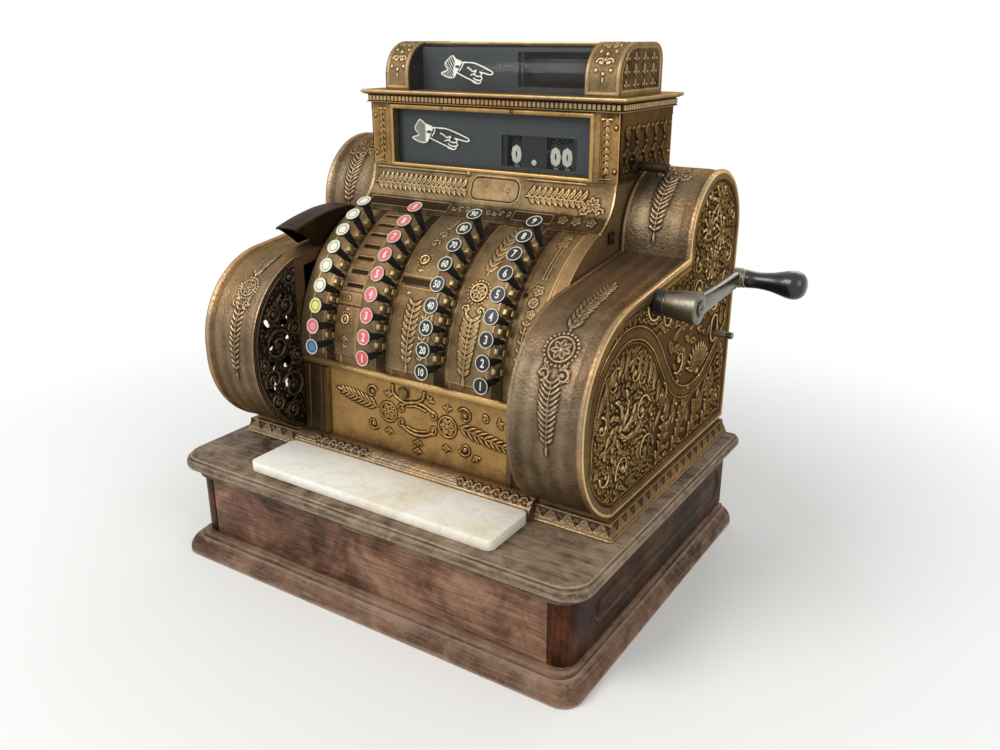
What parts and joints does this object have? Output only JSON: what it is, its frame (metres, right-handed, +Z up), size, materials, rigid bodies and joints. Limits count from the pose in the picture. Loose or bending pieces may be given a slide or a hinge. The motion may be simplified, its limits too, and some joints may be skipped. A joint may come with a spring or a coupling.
{
  "type": "cash register",
  "caption": "Crank-operated mechanical cash register: curved keyboard of round keys, number window, sign box and rounded side castings on a wooden drawer cabinet.",
  "frame": {"origin": "middle of the cabinet's flat underside", "axes": "+X to the operator's right, +Y to the back, +Z up"},
  "size_m": [0.6316, 0.424, 0.5834],
  "materials": {
    "oak": "stained and varnished, worn at the edges",
    "pine": "bare, lightly oiled",
    "marble": "polished, faint grey veins",
    "brass": "relief-cast, aged, polished on its high spots",
    "dark_brass": "hammered, dull patina in the hollows",
    "blackened_steel": "black, rubbed at the edges",
    "nickel": "nickel plate, slightly dull",
    "ebonised_wood": "black, smooth, waxed",
    "steel": "oiled",
    "glass": "clear, slightly dusty",
    "wheel_enamel": "black enamel with pale figures",
    "key_ivory": "pale button under a plated rim",
    "key_red": "red button under a plated rim",
    "key_black": "black button under a plated rim"
  },
  "bodies": {
    "register": {"cabinet": "oak", "marble_sill": "marble", "base_frame": "brass", "keyboard_casting": "brass", "front_panel": "brass", "left_casting": "dark_brass", "right_casting": "dark_brass", "mechanism_frame": "steel", "indicator_housing": "brass", "indicator_glass": "glass", "sign_housing": "brass", "sign_glass": "glass", "rear_cover": "brass"},
    "drawer": {"drawer": "oak", "till_tray": "pine"},
    "receipt_hood": {"receipt_hood": "blackened_steel"},
    "crank": {"crank": "nickel"},
    "crank_grip": {"crank_grip": "ebonised_wood"},
    "main_gear": {"main_gear": "steel"},
    "dollar_wheel": {"dollar_wheel": "wheel_enamel"},
    "ten_cent_wheel": {"ten_cent_wheel": "wheel_enamel"},
    "cent_wheel": {"cent_wheel": "wheel_enamel"},
    "sign_drum": {"sign_drum": "wheel_enamel"},
    "side_stud": {"side_stud": "nickel"},
    "key_1_1": {"key_1_1": "key_ivory"},
    "key_1_2": {"key_1_2": "key_ivory"},
    "key_1_3": {"key_1_3": "key_ivory"},
    "key_1_4": {"key_1_4": "key_ivory"},
    "key_1_5": {"key_1_5": "key_ivory"},
    "key_1_6": {"key_1_6": "key_ivory"},
    "key_1_7": {"key_1_7": "key_ivory"},
    "key_1_8": {"key_1_8": "key_ivory"},
    "key_1_9": {"key_1_9": "key_ivory"},
    "key_2_1": {"key_2_1": "key_red"},
    "key_2_2": {"key_2_2": "key_red"},
    "key_2_3": {"key_2_3": "key_red"},
    "key_2_4": {"key_2_4": "key_red"},
    "key_2_5": {"key_2_5": "key_red"},
    "key_2_6": {"key_2_6": "key_red"},
    "key_2_7": {"key_2_7": "key_red"},
    "key_2_8": {"key_2_8": "key_red"},
    "key_2_9": {"key_2_9": "key_red"},
    "key_3_1": {"key_3_1": "key_black"},
    "key_3_2": {"key_3_2": "key_black"},
    "key_3_3": {"key_3_3": "key_black"},
    "key_3_4": {"key_3_4": "key_black"},
    "key_3_5": {"key_3_5": "key_black"},
    "key_3_6": {"key_3_6": "key_black"},
    "key_3_7": {"key_3_7": "key_black"},
    "key_3_8": {"key_3_8": "key_black"},
    "key_3_9": {"key_3_9": "key_black"},
    "key_4_1": {"key_4_1": "key_black"},
    "key_4_2": {"key_4_2": "key_black"},
    "key_4_3": {"key_4_3": "key_black"},
    "key_4_4": {"key_4_4": "key_black"},
    "key_4_5": {"key_4_5": "key_black"},
    "key_4_6": {"key_4_6": "key_black"},
    "key_4_7": {"key_4_7": "key_black"},
    "key_4_8": {"key_4_8": "key_black"},
    "key_4_9": {"key_4_9": "key_black"}
  },
  "joints": [
    {"name": "drawer_slide", "type": "slide", "parent": "register", "child": "drawer", "axis": [0, -1, 0], "range_m": [0, 0.28]},
    {"name": "receipt_hood_hinge", "type": "hinge", "parent": "register", "child": "receipt_hood", "pos_m": [-0.184, 0.03, 0.37176], "axis": [-1, 0, 0], "range_deg": [0, 65]},
    {"name": "crank_turn", "type": "hinge", "parent": "register", "child": "crank", "pos_m": [0.246, -0.01508, 0.34569], "axis": [1, 0, 0], "continuous": true},
    {"name": "crank_grip_spin", "type": "hinge", "parent": "crank", "child": "crank_grip", "pos_m": [0.3, 0.10485, 0.34988], "axis": [1, 0, 0], "continuous": true},
    {"name": "main_gear_turn", "type": "hinge", "parent": "register", "child": "main_gear", "pos_m": [0, 0.01836, 0.30483], "axis": [1, 0, 0], "continuous": true},
    {"name": "sign_drum_turn", "type": "hinge", "parent": "register", "child": "sign_drum", "pos_m": [0, 0.1075, 0.55344], "axis": [1, 0, 0], "continuous": true},
    {"name": "side_stud_slide", "type": "slide", "parent": "register", "child": "side_stud", "axis": [0, 0, 1], "range_m": [0, 0.012]},
    {"name": "dollar_wheel_turn", "type": "hinge", "parent": "register", "child": "dollar_wheel", "pos_m": [0.03002, 0.1047, 0.46446], "axis": [1, 0, 0], "continuous": true},
    {"name": "ten_cent_wheel_turn", "type": "hinge", "parent": "register", "child": "ten_cent_wheel", "pos_m": [0.08041, 0.1047, 0.46446], "axis": [1, 0, 0], "continuous": true},
    {"name": "cent_wheel_turn", "type": "hinge", "parent": "register", "child": "cent_wheel", "pos_m": [0.09491, 0.1047, 0.46446], "axis": [1, 0, 0], "continuous": true},
    {"name": "key_1_1_press", "type": "slide", "parent": "register", "child": "key_1_1", "axis": [0, 0.9949, -0.1011], "range_m": [0, 0.008], "stiffness_N_per_m": 200, "springref_m": -0.005},
    {"name": "key_1_2_press", "type": "slide", "parent": "register", "child": "key_1_2", "axis": [0, 0.975, -0.2224], "range_m": [0, 0.008], "stiffness_N_per_m": 200, "springref_m": -0.005},
    {"name": "key_1_3_press", "type": "slide", "parent": "register", "child": "key_1_3", "axis": [0, 0.9403, -0.3404], "range_m": [0, 0.008], "stiffness_N_per_m": 200, "springref_m": -0.005},
    {"name": "key_1_4_press", "type": "slide", "parent": "register", "child": "key_1_4", "axis": [0, 0.8914, -0.4532], "range_m": [0, 0.008], "stiffness_N_per_m": 200, "springref_m": -0.005},
    {"name": "key_1_5_press", "type": "slide", "parent": "register", "child": "key_1_5", "axis": [0, 0.829, -0.5592], "range_m": [0, 0.008], "stiffness_N_per_m": 200, "springref_m": -0.005},
    {"name": "key_1_6_press", "type": "slide", "parent": "register", "child": "key_1_6", "axis": [0, 0.7541, -0.6567], "range_m": [0, 0.008], "stiffness_N_per_m": 200, "springref_m": -0.005},
    {"name": "key_1_7_press", "type": "slide", "parent": "register", "child": "key_1_7", "axis": [0, 0.6678, -0.7443], "range_m": [0, 0.008], "stiffness_N_per_m": 200, "springref_m": -0.005},
    {"name": "key_1_8_press", "type": "slide", "parent": "register", "child": "key_1_8", "axis": [0, 0.5714, -0.8207], "range_m": [0, 0.008], "stiffness_N_per_m": 200, "springref_m": -0.005},
    {"name": "key_1_9_press", "type": "slide", "parent": "register", "child": "key_1_9", "axis": [0, 0.4664, -0.8846], "range_m": [0, 0.008], "stiffness_N_per_m": 200, "springref_m": -0.005},
    {"name": "key_2_1_press", "type": "slide", "parent": "register", "child": "key_2_1", "axis": [0, 0.9949, -0.1011], "range_m": [0, 0.008], "stiffness_N_per_m": 200, "springref_m": -0.005},
    {"name": "key_2_2_press", "type": "slide", "parent": "register", "child": "key_2_2", "axis": [0, 0.975, -0.2224], "range_m": [0, 0.008], "stiffness_N_per_m": 200, "springref_m": -0.005},
    {"name": "key_2_3_press", "type": "slide", "parent": "register", "child": "key_2_3", "axis": [0, 0.9403, -0.3404], "range_m": [0, 0.008], "stiffness_N_per_m": 200, "springref_m": -0.005},
    {"name": "key_2_4_press", "type": "slide", "parent": "register", "child": "key_2_4", "axis": [0, 0.8914, -0.4532], "range_m": [0, 0.008], "stiffness_N_per_m": 200, "springref_m": -0.005},
    {"name": "key_2_5_press", "type": "slide", "parent": "register", "child": "key_2_5", "axis": [0, 0.829, -0.5592], "range_m": [0, 0.008], "stiffness_N_per_m": 200, "springref_m": -0.005},
    {"name": "key_2_6_press", "type": "slide", "parent": "register", "child": "key_2_6", "axis": [0, 0.7541, -0.6567], "range_m": [0, 0.008], "stiffness_N_per_m": 200, "springref_m": -0.005},
    {"name": "key_2_7_press", "type": "slide", "parent": "register", "child": "key_2_7", "axis": [0, 0.6678, -0.7443], "range_m": [0, 0.008], "stiffness_N_per_m": 200, "springref_m": -0.005},
    {"name": "key_2_8_press", "type": "slide", "parent": "register", "child": "key_2_8", "axis": [0, 0.5714, -0.8207], "range_m": [0, 0.008], "stiffness_N_per_m": 200, "springref_m": -0.005},
    {"name": "key_2_9_press", "type": "slide", "parent": "register", "child": "key_2_9", "axis": [0, 0.4664, -0.8846], "range_m": [0, 0.008], "stiffness_N_per_m": 200, "springref_m": -0.005},
    {"name": "key_3_1_press", "type": "slide", "parent": "register", "child": "key_3_1", "axis": [0, 0.9949, -0.1011], "range_m": [0, 0.008], "stiffness_N_per_m": 200, "springref_m": -0.005},
    {"name": "key_3_2_press", "type": "slide", "parent": "register", "child": "key_3_2", "axis": [0, 0.975, -0.2224], "range_m": [0, 0.008], "stiffness_N_per_m": 200, "springref_m": -0.005},
    {"name": "key_3_3_press", "type": "slide", "parent": "register", "child": "key_3_3", "axis": [0, 0.9403, -0.3404], "range_m": [0, 0.008], "stiffness_N_per_m": 200, "springref_m": -0.005},
    {"name": "key_3_4_press", "type": "slide", "parent": "register", "child": "key_3_4", "axis": [0, 0.8914, -0.4532], "range_m": [0, 0.008], "stiffness_N_per_m": 200, "springref_m": -0.005},
    {"name": "key_3_5_press", "type": "slide", "parent": "register", "child": "key_3_5", "axis": [0, 0.829, -0.5592], "range_m": [0, 0.008], "stiffness_N_per_m": 200, "springref_m": -0.005},
    {"name": "key_3_6_press", "type": "slide", "parent": "register", "child": "key_3_6", "axis": [0, 0.7541, -0.6567], "range_m": [0, 0.008], "stiffness_N_per_m": 200, "springref_m": -0.005},
    {"name": "key_3_7_press", "type": "slide", "parent": "register", "child": "key_3_7", "axis": [0, 0.6678, -0.7443], "range_m": [0, 0.008], "stiffness_N_per_m": 200, "springref_m": -0.005},
    {"name": "key_3_8_press", "type": "slide", "parent": "register", "child": "key_3_8", "axis": [0, 0.5714, -0.8207], "range_m": [0, 0.008], "stiffness_N_per_m": 200, "springref_m": -0.005},
    {"name": "key_3_9_press", "type": "slide", "parent": "register", "child": "key_3_9", "axis": [0, 0.4664, -0.8846], "range_m": [0, 0.008], "stiffness_N_per_m": 200, "springref_m": -0.005},
    {"name": "key_4_1_press", "type": "slide", "parent": "register", "child": "key_4_1", "axis": [0, 0.9949, -0.1011], "range_m": [0, 0.008], "stiffness_N_per_m": 200, "springref_m": -0.005},
    {"name": "key_4_2_press", "type": "slide", "parent": "register", "child": "key_4_2", "axis": [0, 0.975, -0.2224], "range_m": [0, 0.008], "stiffness_N_per_m": 200, "springref_m": -0.005},
    {"name": "key_4_3_press", "type": "slide", "parent": "register", "child": "key_4_3", "axis": [0, 0.9403, -0.3404], "range_m": [0, 0.008], "stiffness_N_per_m": 200, "springref_m": -0.005},
    {"name": "key_4_4_press", "type": "slide", "parent": "register", "child": "key_4_4", "axis": [0, 0.8914, -0.4532], "range_m": [0, 0.008], "stiffness_N_per_m": 200, "springref_m": -0.005},
    {"name": "key_4_5_press", "type": "slide", "parent": "register", "child": "key_4_5", "axis": [0, 0.829, -0.5592], "range_m": [0, 0.008], "stiffness_N_per_m": 200, "springref_m": -0.005},
    {"name": "key_4_6_press", "type": "slide", "parent": "register", "child": "key_4_6", "axis": [0, 0.7541, -0.6567], "range_m": [0, 0.008], "stiffness_N_per_m": 200, "springref_m": -0.005},
    {"name": "key_4_7_press", "type": "slide", "parent": "register", "child": "key_4_7", "axis": [0, 0.6678, -0.7443], "range_m": [0, 0.008], "stiffness_N_per_m": 200, "springref_m": -0.005},
    {"name": "key_4_8_press", "type": "slide", "parent": "register", "child": "key_4_8", "axis": [0, 0.5714, -0.8207], "range_m": [0, 0.008], "stiffness_N_per_m": 200, "springref_m": -0.005},
    {"name": "key_4_9_press", "type": "slide", "parent": "register", "child": "key_4_9", "axis": [0, 0.4664, -0.8846], "range_m": [0, 0.008], "stiffness_N_per_m": 200, "springref_m": -0.005}
  ],
  "couplings": [
    {"joint": "main_gear_turn", "follows": "crank_turn", "ratio": -0.5}
  ]
}
